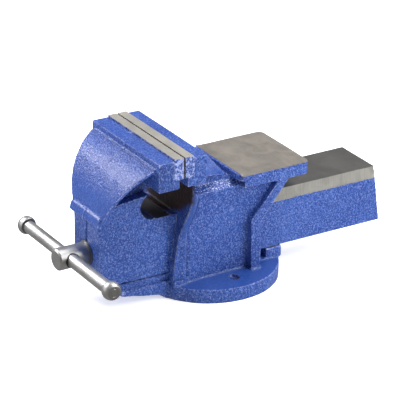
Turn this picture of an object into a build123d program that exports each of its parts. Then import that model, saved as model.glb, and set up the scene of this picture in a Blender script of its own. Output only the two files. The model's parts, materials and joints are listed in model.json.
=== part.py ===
"""Six-inch bench vise: a fixed round base with an anvil, and a front jaw that slides on a box slide.

Millimetres, +Z up. The origin is the centre of the round base's underside, which sits on the bench.
The handle is towards -Y, the free end of the slide towards +Y, and the vise is symmetric about X = 0.
"""

from build123d import *

import os
from math import sqrt

# ---------------------------------------------------------------- driving dimensions
jaw_width = 150.0           # length of the jaw plates and of both jaw blocks
jaw_line_y = -75.0          # where the closed plates meet
closed_gap = 0.4            # daylight left between the closed plates
throat_depth = 83.5         # from the top of the slide to the top of the cast jaws

base_d = 163.0
base_t = 16.5               # thickness at the rim
base_rise = 2.5             # the top climbs this much from the rim to the body
base_crown_d = 96.0         # where that climb ends
base_rim_t = 5.5            # height of the rim's edge in front, under the rail's nose
bench_bolt_d = 13.0         # clearance for the bench bolts
bench_bolt_spacing = 116.0

floor_top = 30.0            # the slide runs over this floor
rail_w = 70.0               # width of the floor rail, in front of and behind the body
rail_front_y = -132.0
rail_rear_y = 78.0
rail_nose_t = 15.0          # thickness of the rail's front nose
rail_nose_r = 6.5
rail_notch_w = 44.0         # behind the body the rail narrows to this, up to its rear block
rail_notch_rear_y = 57.0
pocket_w = 52.0             # hollow under the base, around the nut bolts
pocket_front_y = -66.0
pocket_rear_y = 50.0
pocket_depth = 12.0
pocket_corner_r = 13.0

slide_w = 66.0
slide_h = 70.0
slide_wall = 9.0
slide_roof = 11.0
slide_rear_y = 205.0        # at the top; the end face leans back towards the bottom
slide_rear_lean = 9.5
slide_gap = 0.4             # running gap on the sides and the top
slide_floor_gap = 0.5

body_wall = 9.6             # cast walls beside the slide
body_roof = 21.1            # cast roof over the slide
body_front_y = -61.5
neck_w = 66.0
shoulder_rise = 6.5         # from the top of the side panels up to the neck

rib_w = 104.0               # rear wall, as wide as the anvil
rib_t = 13.0
rib_rear_y = 39.0
rib_knee_z = 75.0           # above this the rear wall leans back
rib_top_y = 75.0            # where it meets the underside of the anvil
rib_inner_rise = 4.3        # its inner face starts to lean this much higher

anvil_w = 104.0
anvil_l = 86.0
anvil_t = 15.0
anvil_front_y = 17.0
anvil_top_z = 135.5
anvil_corner_r = 7.0

flange_t = 9.0              # front flange that carries the fixed jaw's ends
flange_thin_t = 3.0         # and this thin just under the fixed block
flange_thin_z = 136.5
flange_foot_y = -70.0       # the flange steps forward towards its foot
flange_foot_t = 15.0
flange_foot_w = 89.0
flange_top_w = 141.0        # and its ears, just under the fixed block
flange_upper_z = 92.0       # upright above this height
flange_lower_z = 36.0       # full foot thickness below this height
flange_curve_top_z = 140.0
flange_curve_end_z = 66.0

block_h = 34.0              # height of both jaw blocks
fixed_lip = 4.0             # casting face behind the jaw line, under the plate
fixed_block_t = 27.5        # from the jaw line to the back of the block
gusset_h = 26.0             # height of the gusset where it leaves the block
gusset_end_y = -1.5
gusset_end_h = 6.0
slope_drop = 44.0           # fall of the sloping back over the gusset's length
moving_lip = 6.0
moving_block_t = 32.0

box_front_y = -157.0        # front face of the moving jaw's box
box_front_w = 59.0
box_full_y = -105.0         # from here back the box is as wide as the slide
box_wall = 14.0             # front wall, which carries the screw
box_top_front_z = 124.0     # its roof starts at this height, this far behind the front face
box_roof_setback = 8.0
throat_slot_y = -90.0       # centre of the rounded end of the throat slot
throat_slot_h = 31.8
web_w = 40.0                # neck between the box and the moving block
shell_r = 81.0              # curved front of the moving jaw
shell_t = 5.0
shell_centre_z = 103.0
shell_foot_z = 108.0
shell_foot_w = 65.0
shell_flare = 0.553         # half width gained per millimetre of height
bead_z = 105.0              # moulded lip along the foot of the shell: its lower edge
bead_h = 9.3
bead_proud = 4.3            # at the lower edge
bead_lean = 3.1             # its face leans back this much towards the top
bead_under = 2.5            # its underside runs back this much lower

plate_h = 24.5
plate_t = 11.5
plate_proud = 2.0           # plates stand above the cast blocks
plate_screw_d = 8.0
plate_screw_head_d = 15.0
plate_screw_head_sink = 0.4
plate_screw_length = 28.0
plate_screw_spacing = 90.0
plate_screw_key = 5.0       # across the flats of the hexagon socket
plate_screw_key_depth = 3.2
tap_over_depth = 2.0        # tapped holes run this far past the end of their screws
thread_clear = 0.1          # radial room between a screw and its tapped hole

screw_z = 62.3              # height of the screw's axis
thread_d = 20.0
journal_over = 2.0          # the journal is this much larger than the thread
hub_over = 3.5              # and the hub this much larger than the journal
hub_end_y = -195.8
hub_chamfer = 1.5
thread_end_y = 152.0
thread_end_chamfer = 2.0
running_clear = 0.05        # radial running clearance in bores
face_gap = 0.3              # axial room between turning and still faces

thrust_washer_over = 3.5    # washer larger than the hub
thrust_washer_t = 1.8
spring_washer_t = 2.0
spring_over = 7.0           # mean diameter of the coil, over the journal
spring_wire = 3.0
spring_length = 20.0
spring_turns = 4.0
collar_over = 14.0          # collar and spring washers larger than the journal
collar_t = 12.0
collar_pin_d = 5.0
collar_pin_chamfer = 0.5
collar_pin_sink = 0.5       # its ends lie this far under the collar's surface

nut_front_y = -60.0
nut_rear_y = -20.0
nut_over = 14.0             # nut wider than the thread
nut_side_gap = 3.0          # room beside the nut's foot in the slide
nut_foot_t = 9.0
nut_bolt_d = 10.0
nut_bolt_spacing = 22.0
nut_bolt_reach = 14.0       # depth of thread inside the nut
nut_bolt_head_t = 6.4
nut_bolt_flats = 16.0
nut_washer_d = 20.0
nut_washer_t = 2.0
bolt_clear = 0.3            # radial room around the bolts in the casting

handle_y = -180.5
handle_d = 15.0
knob_d = 21.4
knob_centre = 98.3          # from the screw's axis to the centre of each knob
knob_flat_d = 15.6
knob_shoulder = 5.3         # the full bar ends this far inside the knob's centre
tenon_d = 9.0

# ---------------------------------------------------------------- sizes worked out from those
half_jaw = jaw_width / 2
slide_bottom = floor_top + slide_floor_gap
slide_top = slide_bottom + slide_h
half_slide = slide_w / 2
half_tunnel = half_slide + slide_gap
tunnel_roof = slide_top + slide_gap
half_panel = half_tunnel + body_wall
shoulder_z = tunnel_roof + body_roof
neck_foot_z = shoulder_z + shoulder_rise
anvil_under = anvil_top_z - anvil_t
jaw_top = slide_top + throat_depth
block_bottom = jaw_top - block_h
plate_bottom = jaw_top + plate_proud - plate_h
fixed_face_y = jaw_line_y + closed_gap / 2
moving_face_y = jaw_line_y - closed_gap / 2
fixed_seat_y = fixed_face_y + plate_t
moving_seat_y = moving_face_y - plate_t
fixed_back_y = jaw_line_y + fixed_block_t
moving_front_y = jaw_line_y - moving_block_t
moving_lip_y = jaw_line_y - moving_lip
plate_screw_z = plate_bottom + plate_h / 2
plate_screw_tap = plate_screw_length - plate_t + tap_over_depth
slope_end_z = jaw_top - slope_drop
slope_run = gusset_end_y - fixed_back_y
slot_centre_z = slide_top + throat_slot_h / 2
slot_top_z = slide_top + throat_slot_h
wall_inner_y = box_front_y + box_wall
channel_half = half_slide - slide_wall
channel_roof = slide_top - slide_roof
journal_d = thread_d + journal_over
hub_d = journal_d + hub_over
thrust_washer_d = hub_d + thrust_washer_over
spring_d = journal_d + spring_over
collar_d = journal_d + collar_over
nut_w = thread_d + nut_over
nut_foot_w = 2 * (channel_half - nut_side_gap)
thrust_face_y = box_front_y - face_gap
hub_face_y = thrust_face_y - thrust_washer_t
spring_front_y = wall_inner_y + face_gap + spring_washer_t
spring_rear_y = spring_front_y + spring_length
collar_front_y = spring_rear_y + spring_washer_t
collar_rear_y = collar_front_y + collar_t
nut_mid_y = (nut_front_y + nut_rear_y) / 2
knob_flat = sqrt(knob_d**2 - knob_flat_d**2) / 2
overrun = 5.0               # how far a cutting solid runs past the metal
root = 1.5                  # how far the shell is sunk into the moving block


def slab(x, y, z, mode=Mode.ADD):
    """A box between two values of x, of y and of z."""
    middle = [(low + high) / 2 for low, high in (x, y, z)]
    with Locations(tuple(middle)):
        return Box(x[1] - x[0], y[1] - y[0], z[1] - z[0], mode=mode)


def rod(radius, y, z=screw_z, mode=Mode.ADD):
    """A round bar along Y between two values of y, on the plane of symmetry."""
    with Locations(Location((0, (y[0] + y[1]) / 2, z), (90, 0, 0))):
        return Cylinder(radius, y[1] - y[0], mode=mode)


def ring(outer, inner, y, z=screw_z):
    """A washer or collar along Y, on the screw's axis."""
    with BuildPart() as made:
        rod(outer, y, z)
        rod(inner, (y[0] - overrun, y[1] + overrun), z, mode=Mode.SUBTRACT)
    return made.part


def finish(part, label):
    """Name a finished piece and write it out."""
    part.label = label
    export_step(part, f"parts/{label}.step")


os.makedirs("parts", exist_ok=True)

# ---------------------------------------------------------------- fixed body
with BuildPart() as front_flange:
    # outline seen from the front: two ears on top, an S curve in to the foot
    with BuildSketch(Plane.XZ.offset(-(body_front_y + flange_foot_t))):
        with BuildLine():
            Line((0, 0), (flange_foot_w / 2, 0))
            Line((flange_foot_w / 2, 0), (flange_foot_w / 2, flange_curve_end_z))
            Spline(
                (flange_foot_w / 2, flange_curve_end_z),
                (flange_top_w / 2, flange_curve_top_z),
                tangents=((0, 1), (0, 1)),
            )
            Line((flange_top_w / 2, flange_curve_top_z), (flange_top_w / 2, block_bottom + overrun))
            Line((flange_top_w / 2, block_bottom + overrun), (0, block_bottom + overrun))
            mirror(about=Plane.YZ)
        make_face()
    extrude(amount=flange_foot_t + body_front_y - flange_foot_y)
    # side profile: upright on top, stepping forward and thicker at the foot
    with BuildSketch(Plane.YZ.offset(-half_jaw)):
        with BuildLine():
            Polyline(
                (flange_foot_y, 0),
                (flange_foot_y, flange_lower_z),
                (body_front_y, flange_upper_z),
                (body_front_y, block_bottom + overrun),
                (body_front_y + flange_thin_t, block_bottom + overrun),
                (body_front_y + flange_thin_t, flange_thin_z),
                (body_front_y + flange_t, flange_thin_z),
                (body_front_y + flange_t, flange_upper_z),
                (flange_foot_y + flange_foot_t, flange_lower_z),
                (flange_foot_y + flange_foot_t, 0),
                close=True,
            )
        make_face()
    extrude(amount=jaw_width, mode=Mode.INTERSECT)

with BuildPart() as fixed_body:
    # round base, slightly domed towards the body
    with BuildSketch(Plane.XZ):
        with BuildLine():
            Polyline(
                (0, 0),
                (base_d / 2, 0),
                (base_d / 2, base_t),
                (base_crown_d / 2, base_t + base_rise),
                (0, base_t + base_rise),
                close=True,
            )
        make_face()
    revolve(axis=Axis.Z)
    # floor rail, with a nose in front whose underside climbs from the base
    with BuildSketch(Plane.YZ.offset(-rail_w / 2)):
        with BuildLine():
            Polyline(
                (0, 0),
                (-base_d / 2 + overrun, 0),
                (-base_d / 2, base_rim_t),
                (rail_front_y, floor_top - rail_nose_t),
                (rail_front_y, floor_top),
                (rail_rear_y, floor_top),
                (rail_rear_y, base_t),
                (0, base_t),
                close=True,
            )
        rail = make_face()
        fillet(rail.vertices().group_by(Axis.Y)[0], rail_nose_r)
        fillet(rail.vertices().group_by(Axis.Y)[-1].sort_by(Axis.Z)[-1], rail_nose_r)
    extrude(amount=rail_w)
    # walls and roof around the slide
    with BuildSketch(Plane.YZ.offset(-half_panel)):
        with BuildLine():
            Polyline(
                (body_front_y, 0),
                (rib_rear_y, 0),
                (rib_rear_y, rib_knee_z),
                (rib_top_y, anvil_under),
                (rib_top_y, shoulder_z),
                (body_front_y, shoulder_z),
                close=True,
            )
        make_face()
    extrude(amount=2 * half_panel)
    # rear wall, as wide as the anvil
    with BuildSketch(Plane.YZ.offset(-rib_w / 2)):
        with BuildLine():
            Polyline(
                (rib_rear_y - rib_t, 0),
                (rib_rear_y, 0),
                (rib_rear_y, rib_knee_z),
                (rib_top_y, anvil_under),
                (rib_top_y, anvil_under + overrun),
                (rib_top_y - rib_t, anvil_under + overrun),
                (rib_top_y - rib_t, anvil_under),
                (rib_rear_y - rib_t, rib_knee_z + rib_inner_rise),
                close=True,
            )
        make_face()
    extrude(amount=rib_w)
    # anvil
    with BuildSketch(Plane.XY.offset(anvil_under)):
        with Locations((0, anvil_front_y + anvil_l / 2)):
            pad = Rectangle(anvil_w, anvil_l)
        fillet(pad.vertices().group_by(Axis.Y)[-1], anvil_corner_r)
    extrude(amount=anvil_t)
    # sloping shoulders and the neck of the fixed jaw
    with BuildSketch(Plane.XZ.offset(-anvil_front_y)):
        with BuildLine():
            Polyline(
                (-half_panel, shoulder_z),
                (half_panel, shoulder_z),
                (neck_w / 2, neck_foot_z),
                (-neck_w / 2, neck_foot_z),
                close=True,
            )
        make_face()
    extrude(amount=anvil_front_y - body_front_y)
    with BuildSketch(Plane.YZ.offset(-neck_w / 2)):
        with BuildLine():
            Polyline(
                (body_front_y, shoulder_z),
                (body_front_y, jaw_top),
                (fixed_back_y, jaw_top),
                (gusset_end_y, slope_end_z),
                (gusset_end_y + slope_run * (slope_end_z - shoulder_z) / slope_drop, shoulder_z),
                close=True,
            )
        make_face()
    extrude(amount=neck_w)
    # jaw block, and the gusset that runs from its ends in to the neck
    slab((-half_jaw, half_jaw), (jaw_line_y + fixed_lip, fixed_back_y), (block_bottom, jaw_top))
    with BuildSketch(Plane.XZ.offset(-fixed_back_y)):
        with Locations((0, jaw_top - gusset_h / 2)):
            Rectangle(jaw_width, gusset_h)
    with BuildSketch(Plane.XZ.offset(-gusset_end_y)):
        with Locations((0, slope_end_z - gusset_end_h / 2)):
            Rectangle(neck_w, gusset_end_h)
    loft()
    add(front_flange.part)
    # the slide's passage
    slab(
        (-half_tunnel, half_tunnel),
        (flange_foot_y - overrun, rib_top_y + overrun),
        (floor_top, tunnel_roof),
        mode=Mode.SUBTRACT,
    )
    # seat of the jaw plate
    slab(
        (-half_jaw - overrun, half_jaw + overrun),
        (jaw_line_y - overrun, fixed_seat_y),
        (plate_bottom, jaw_top + overrun),
        mode=Mode.SUBTRACT,
    )
    for side in (-1, 1):
        screw_x = side * plate_screw_spacing / 2
        with Locations(Location((screw_x, fixed_seat_y, plate_screw_z), (90, 0, 0))):
            Hole(plate_screw_d / 2 + thread_clear, plate_screw_tap)
        slab(
            sorted((side * rail_notch_w / 2, side * (rail_w / 2 + overrun))),
            (rib_rear_y, rail_notch_rear_y),
            (base_t + base_rise, floor_top + overrun),
            mode=Mode.SUBTRACT,
        )
        with Locations((side * bench_bolt_spacing / 2, 0, base_t + base_rise)):
            Hole(bench_bolt_d / 2, base_t + base_rise)
        with Locations((0, nut_mid_y + side * nut_bolt_spacing / 2, floor_top)):
            Hole(nut_bolt_d / 2 + bolt_clear, floor_top)
    # hollow under the base
    with BuildSketch(Plane.XY):
        with Locations((0, (pocket_front_y + pocket_rear_y) / 2)):
            RectangleRounded(pocket_w, pocket_rear_y - pocket_front_y, pocket_corner_r)
    extrude(amount=pocket_depth, mode=Mode.SUBTRACT)

finish(fixed_body.part, "fixed_body")

# ---------------------------------------------------------------- moving jaw
with BuildPart() as jaw_shell:
    # curved sheet, as wide as the jaw near the top and narrowing to the bead
    with BuildSketch(Plane.YZ.offset(-half_jaw)):
        with Locations((jaw_line_y, shell_centre_z)):
            Circle(shell_r)
            Circle(shell_r - shell_t, mode=Mode.SUBTRACT)
        with BuildLine():
            Polyline(
                (jaw_line_y - shell_r - overrun, shell_foot_z),
                (jaw_line_y - shell_r - overrun, jaw_top),
                (moving_front_y + root, jaw_top),
                (moving_front_y + root, shell_foot_z),
                close=True,
            )
        make_face(mode=Mode.INTERSECT)
    extrude(amount=jaw_width)
    foot_half = shell_foot_w / 2
    head_half = foot_half + shell_flare * (jaw_top - shell_foot_z)
    with BuildSketch(Plane.XZ.offset(-jaw_line_y)):
        with BuildLine():
            Polyline(
                (-foot_half, shell_foot_z),
                (foot_half, shell_foot_z),
                (head_half, jaw_top),
                (-head_half, jaw_top),
                close=True,
            )
        make_face()
    extrude(amount=2 * shell_r, mode=Mode.INTERSECT)

with BuildPart() as jaw_box:
    # tapered in plan, with a roof that climbs towards the throat
    with BuildSketch(Plane.XY.offset(slide_bottom)):
        with BuildLine():
            Polyline(
                (-box_front_w / 2, box_front_y),
                (box_front_w / 2, box_front_y),
                (half_slide, box_full_y),
                (half_slide, throat_slot_y),
                (-half_slide, throat_slot_y),
                (-half_slide, box_full_y),
                close=True,
            )
        make_face()
    extrude(amount=slot_top_z - slide_bottom)
    with BuildSketch(Plane.YZ.offset(-half_slide)):
        with BuildLine():
            Polyline(
                (box_front_y, slide_bottom),
                (throat_slot_y, slide_bottom),
                (throat_slot_y, slot_top_z),
                (box_front_y + box_roof_setback, box_top_front_z),
                (box_front_y, bead_z + bead_h),
                close=True,
            )
        make_face()
    extrude(amount=slide_w, mode=Mode.INTERSECT)

with BuildPart() as jaw_web:
    # neck between the box, the shell and the block
    with BuildSketch(Plane.YZ.offset(-web_w / 2)):
        with Locations((jaw_line_y, shell_centre_z)):
            Circle(shell_r - shell_t / 2)
        with BuildLine():
            Polyline(
                (box_front_y, shell_foot_z),
                (throat_slot_y, slot_top_z - overrun),
                (throat_slot_y, slot_top_z),
                (moving_lip_y, slot_top_z),
                (moving_lip_y, block_bottom + overrun),
                (moving_front_y, jaw_top),
                (box_front_y, jaw_top),
                close=True,
            )
        make_face(mode=Mode.INTERSECT)
    extrude(amount=web_w)

with BuildPart() as moving_jaw:
    # slide, with its end face leaning
    with BuildSketch(Plane.YZ.offset(-half_slide)):
        with BuildLine():
            Polyline(
                (box_full_y, slide_bottom),
                (slide_rear_y + slide_rear_lean, slide_bottom),
                (slide_rear_y, slide_top),
                (box_full_y, slide_top),
                close=True,
            )
        make_face()
    extrude(amount=slide_w)
    add(jaw_box.part)
    add(jaw_web.part)
    # rounded end of the throat slot
    with BuildSketch(Plane.YZ.offset(-half_slide - overrun)):
        with Locations((throat_slot_y, slot_centre_z)):
            Circle(throat_slot_h / 2)
    extrude(amount=slide_w + 2 * overrun, mode=Mode.SUBTRACT)
    add(jaw_shell.part)
    # bead along the foot of the shell
    bead_y = box_front_y - bead_proud
    with BuildSketch(Plane.YZ.offset(-shell_foot_w / 2)):
        with BuildLine():
            Polyline(
                (box_front_y + root, bead_z - bead_under),
                (box_front_y, bead_z - bead_under),
                (bead_y, bead_z),
                (bead_y + bead_lean, bead_z + bead_h),
                (box_front_y + root, bead_z + bead_h),
                close=True,
            )
        make_face()
    extrude(amount=shell_foot_w)
    # jaw block with the seat of its plate
    slab((-half_jaw, half_jaw), (moving_front_y, moving_lip_y), (block_bottom, jaw_top))
    slab(
        (-half_jaw - overrun, half_jaw + overrun),
        (moving_seat_y, jaw_line_y + overrun),
        (plate_bottom, jaw_top + overrun),
        mode=Mode.SUBTRACT,
    )
    # channel along the slide for the nut and the screw
    slab(
        (-channel_half, channel_half),
        (wall_inner_y, slide_rear_y + slide_rear_lean + overrun),
        (slide_bottom - overrun, channel_roof),
        mode=Mode.SUBTRACT,
    )
    rod(
        journal_d / 2 + running_clear,
        (box_front_y - overrun, wall_inner_y + overrun),
        mode=Mode.SUBTRACT,
    )
    for side in (-1, 1):
        screw_x = side * plate_screw_spacing / 2
        with Locations(Location((screw_x, moving_seat_y, plate_screw_z), (-90, 0, 0))):
            Hole(plate_screw_d / 2 + thread_clear, plate_screw_tap)

finish(moving_jaw.part, "moving_jaw")

# ---------------------------------------------------------------- jaw plates and their screws
def jaw_plate(face_y, back_y, turn):
    """A hardened plate with two countersunk holes; turn points the holes at the face."""
    with BuildPart() as made:
        slab((-half_jaw, half_jaw), sorted((face_y, back_y)), (plate_bottom, plate_bottom + plate_h))
        for side in (-1, 1):
            screw_x = side * plate_screw_spacing / 2
            with Locations(Location((screw_x, face_y, plate_screw_z), (turn, 0, 0))):
                CounterSinkHole(
                    plate_screw_d / 2 + thread_clear,
                    plate_screw_head_d / 2 + plate_screw_head_sink,
                )
    return made.part


def plate_screw(x, face_y, into):
    """A countersunk screw with a hexagon socket; into is +1 when it runs towards +Y."""
    head_y = face_y + into * plate_screw_head_sink
    with BuildPart() as made:
        with BuildSketch(Plane.XY):
            with BuildLine():
                Polyline(
                    (0, head_y),
                    (plate_screw_head_d / 2, head_y),
                    (plate_screw_d / 2, head_y + into * (plate_screw_head_d - plate_screw_d) / 2),
                    (plate_screw_d / 2, head_y + into * plate_screw_length),
                    (0, head_y + into * plate_screw_length),
                    close=True,
                )
            make_face()
        revolve(axis=Axis.Y)
        with BuildSketch(Plane.XZ.offset(-head_y)):
            RegularPolygon(plate_screw_key / 2, 6, major_radius=False)
        extrude(amount=-into * plate_screw_key_depth, mode=Mode.SUBTRACT)
    return Pos(x, 0, plate_screw_z) * made.part


finish(jaw_plate(fixed_face_y, fixed_seat_y, 90), "fixed_jaw_plate")
finish(jaw_plate(moving_face_y, moving_seat_y, -90), "moving_jaw_plate")
for side, side_name in ((-1, "left"), (1, "right")):
    screw_x = side * plate_screw_spacing / 2
    finish(plate_screw(screw_x, fixed_face_y, 1), f"fixed_plate_screw_{side_name}")
    finish(plate_screw(screw_x, moving_face_y, -1), f"moving_plate_screw_{side_name}")

# ---------------------------------------------------------------- screw, with what turns on it
with BuildPart() as lead_screw:
    with BuildSketch(Plane.XY):
        with BuildLine():
            Polyline(
                (0, hub_end_y),
                (hub_d / 2 - hub_chamfer, hub_end_y),
                (hub_d / 2, hub_end_y + hub_chamfer),
                (hub_d / 2, hub_face_y),
                (journal_d / 2, hub_face_y),
                (journal_d / 2, collar_rear_y),
                (thread_d / 2, collar_rear_y),
                (thread_d / 2, thread_end_y - thread_end_chamfer),
                (thread_d / 2 - thread_end_chamfer, thread_end_y),
                (0, thread_end_y),
                close=True,
            )
        make_face()
    revolve(axis=Axis.Y)
    # hole for the handle, and hole for the collar's pin
    with Locations(Location((0, handle_y, 0), (0, 90, 0))):
        Cylinder(handle_d / 2 + running_clear, hub_d + overrun, mode=Mode.SUBTRACT)
    with Locations((0, (collar_front_y + collar_rear_y) / 2, 0)):
        Cylinder(collar_pin_d / 2, collar_d, mode=Mode.SUBTRACT)

finish(Pos(0, 0, screw_z) * lead_screw.part, "lead_screw")

journal_hole = journal_d / 2 + running_clear
finish(ring(thrust_washer_d / 2, journal_hole, (hub_face_y, thrust_face_y)), "thrust_washer")
finish(
    ring(collar_d / 2, journal_hole, (wall_inner_y + face_gap, spring_front_y)),
    "spring_washer_front",
)
finish(ring(collar_d / 2, journal_hole, (spring_rear_y, collar_front_y)), "spring_washer_rear")

with BuildPart() as thrust_spring:
    with BuildLine():
        coil = Helix(
            pitch=(spring_length - spring_wire) / spring_turns,
            height=spring_length - spring_wire,
            radius=spring_d / 2,
            center=(0, spring_front_y + spring_wire / 2, screw_z),
            direction=(0, 1, 0),
        )
    with BuildSketch(Plane(origin=coil @ 0, z_dir=coil % 0)):
        Circle(spring_wire / 2)
    sweep(path=coil, is_frenet=True)

finish(thrust_spring.part, "thrust_spring")

with BuildPart() as retaining_collar:
    with BuildSketch(Plane.XZ.offset(-collar_rear_y)):
        with Locations((0, screw_z)):
            Circle(collar_d / 2)
            Circle(journal_hole, mode=Mode.SUBTRACT)
    extrude(amount=collar_t)
    with Locations((0, (collar_front_y + collar_rear_y) / 2, screw_z)):
        Cylinder(collar_pin_d / 2, collar_d + overrun, mode=Mode.SUBTRACT)

finish(retaining_collar.part, "retaining_collar")

with BuildPart() as collar_pin:
    with Locations((0, (collar_front_y + collar_rear_y) / 2, screw_z)):
        Cylinder(collar_pin_d / 2, collar_d - 2 * collar_pin_sink)
    chamfer(collar_pin.edges().filter_by(GeomType.CIRCLE), collar_pin_chamfer)

finish(collar_pin.part, "collar_pin")

# ---------------------------------------------------------------- nut and its bolts
with BuildPart() as spindle_nut:
    with BuildSketch(Plane.XZ.offset(-nut_rear_y)):
        with Locations((0, screw_z)):
            Circle(nut_w / 2)
        with Locations((0, (floor_top + screw_z) / 2)):
            Rectangle(nut_w, screw_z - floor_top)
        with Locations((0, floor_top + nut_foot_t / 2)):
            Rectangle(nut_foot_w, nut_foot_t)
    extrude(amount=nut_rear_y - nut_front_y)
    rod(
        thread_d / 2 + running_clear,
        (nut_front_y - overrun, nut_rear_y + overrun),
        mode=Mode.SUBTRACT,
    )
    for side in (-1, 1):
        with Locations(Location((0, nut_mid_y + side * nut_bolt_spacing / 2, floor_top), (180, 0, 0))):
            Hole(nut_bolt_d / 2 + thread_clear, nut_bolt_reach + tap_over_depth)

finish(spindle_nut.part, "spindle_nut")

nut_washer_z = pocket_depth - nut_washer_t
for side, side_name in ((-1, "front"), (1, "rear")):
    bolt_y = nut_mid_y + side * nut_bolt_spacing / 2
    with BuildPart() as nut_bolt:
        with BuildSketch(Plane.XY.offset(nut_washer_z - nut_bolt_head_t)):
            with Locations((0, bolt_y)):
                RegularPolygon(nut_bolt_flats / 2, 6, major_radius=False)
        extrude(amount=nut_bolt_head_t)
        with BuildSketch(Plane.XY.offset(nut_washer_z)):
            with Locations((0, bolt_y)):
                Circle(nut_bolt_d / 2)
        extrude(amount=floor_top + nut_bolt_reach - nut_washer_z)
    finish(nut_bolt.part, f"nut_bolt_{side_name}")
    with BuildPart() as nut_washer:
        with BuildSketch(Plane.XY.offset(nut_washer_z)):
            with Locations((0, bolt_y)):
                Circle(nut_washer_d / 2)
                Circle(nut_bolt_d / 2 + bolt_clear, mode=Mode.SUBTRACT)
        extrude(amount=nut_washer_t)
    finish(nut_washer.part, f"nut_washer_{side_name}")

# ---------------------------------------------------------------- handle
bar_half = knob_centre - knob_shoulder
tenon_half = knob_centre + knob_flat
with BuildPart() as handle_bar:
    with BuildSketch(Plane.XY):
        with BuildLine():
            Polyline(
                (-tenon_half, 0),
                (-tenon_half, tenon_d / 2),
                (-bar_half, tenon_d / 2),
                (-bar_half, handle_d / 2),
                (bar_half, handle_d / 2),
                (bar_half, tenon_d / 2),
                (tenon_half, tenon_d / 2),
                (tenon_half, 0),
                close=True,
            )
        make_face()
    revolve(axis=Axis.X)

finish(Pos(0, handle_y, screw_z) * handle_bar.part, "handle_bar")

for side, side_name in ((-1, "left"), (1, "right")):
    with BuildPart() as knob:
        Sphere(knob_d / 2)
        with Locations((side * (knob_flat + knob_d / 2), 0, 0)):
            Box(knob_d, knob_d, knob_d, mode=Mode.SUBTRACT)
        with Locations(Location((0, 0, 0), (0, 90, 0))):
            Cylinder(tenon_d / 2, knob_d + overrun, mode=Mode.SUBTRACT)
        with Locations(Location((-side * (knob_shoulder + knob_d / 2), 0, 0), (0, 90, 0))):
            Cylinder(handle_d / 2, knob_d, mode=Mode.SUBTRACT)
    finish(Pos(side * knob_centre, handle_y, screw_z) * knob.part, f"handle_knob_{side_name}")
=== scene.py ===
import json
import math

import bmesh
import bpy
import numpy as np
from mathutils import Matrix, Vector

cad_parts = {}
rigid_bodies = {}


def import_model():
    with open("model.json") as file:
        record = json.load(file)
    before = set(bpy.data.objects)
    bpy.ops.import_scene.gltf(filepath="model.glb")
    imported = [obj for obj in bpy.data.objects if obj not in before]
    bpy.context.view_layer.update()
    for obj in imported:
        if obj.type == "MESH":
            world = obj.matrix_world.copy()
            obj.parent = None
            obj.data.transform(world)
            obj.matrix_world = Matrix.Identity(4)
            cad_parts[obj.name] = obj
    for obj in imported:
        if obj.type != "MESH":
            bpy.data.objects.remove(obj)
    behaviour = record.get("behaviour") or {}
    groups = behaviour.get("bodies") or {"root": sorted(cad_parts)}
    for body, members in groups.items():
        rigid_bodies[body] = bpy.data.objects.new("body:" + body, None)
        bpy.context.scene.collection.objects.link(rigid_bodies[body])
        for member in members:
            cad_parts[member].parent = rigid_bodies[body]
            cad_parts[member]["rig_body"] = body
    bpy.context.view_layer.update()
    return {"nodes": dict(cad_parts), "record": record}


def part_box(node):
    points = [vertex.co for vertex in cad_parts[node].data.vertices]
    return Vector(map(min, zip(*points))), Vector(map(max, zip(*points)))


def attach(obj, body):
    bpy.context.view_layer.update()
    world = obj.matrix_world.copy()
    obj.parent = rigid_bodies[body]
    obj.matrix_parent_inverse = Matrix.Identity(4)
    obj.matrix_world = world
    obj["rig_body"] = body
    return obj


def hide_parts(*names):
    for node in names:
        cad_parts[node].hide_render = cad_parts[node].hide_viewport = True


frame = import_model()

# ---------------------------------------------------------------- sizes, in metres, from the frame
record = frame["record"]
mounts = {mount["name"]: mount for mount in record["mounts"]}
body_low, body_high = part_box("fixed_body")
jaw_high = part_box("moving_jaw")[1]
fixed_plate_low, fixed_plate_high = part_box("fixed_jaw_plate")
moving_plate_low, moving_plate_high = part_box("moving_jaw_plate")
screw_low, screw_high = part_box("lead_screw")
bar_low, bar_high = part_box("handle_bar")
collar_low, collar_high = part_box("retaining_collar")
thrust_low, thrust_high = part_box("thrust_washer")
nut_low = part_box("spindle_nut")[0]
knob_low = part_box("handle_knob_right")[0]
plate_screw_low, plate_screw_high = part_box("fixed_plate_screw_right")

half_jaw = jaw_high.x
jaw_line_y = (moving_plate_high.y + fixed_plate_low.y) / 2
anvil_top = mounts["anvil_face"]["pos_m"][2]
bolt_hole_x = mounts["base_bolts"]["dims"]["spacing_x_mm"] / 2000
bolt_hole_r = mounts["base_bolts"]["dims"]["hole_r_mm"] / 1000
screw_axis_z = (screw_low.z + screw_high.z) / 2
floor_top = nut_low.z

rib_rear_y = 0.039           # rear wall; above the knee it leans back
rib_knee_z = 0.075
flange_rear_y = -0.0525      # back of the front flange
flange_foot_half = 0.0445    # half its width at the foot and at the ears, and the heights between
flange_top_half = 0.0705
flange_curve_low = 0.066
flange_curve_high = 0.140
panel_half = 0.043           # side panels, and the neck between their shoulders
neck_half = 0.033
slide_half = 0.0330
slide_top = 0.1005
slide_gap = 0.0004
tunnel_half = slide_half + slide_gap
tunnel_top = slide_top + slide_gap
tunnel_low_y = body_low.y - 0.01
tunnel_high_y = body_high.y + 0.01
anvil_half = 0.052
anvil_front_y = 0.017
anvil_rear_y = body_high.y
anvil_corner = 0.007
base_r = 0.0815
base_top = 0.0165
pocket_half = 0.026
pocket_front_y = -0.066
pocket_rear_y = 0.050
pocket_depth = 0.012
pocket_corner = 0.013
slot_y = -0.090
slot_r = 0.0159
box_front_y = thrust_high.y + 0.0003
journal_r = 0.011
thread_r = 0.010
thread_pitch = 0.004
thread_depth = 0.00225
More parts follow.
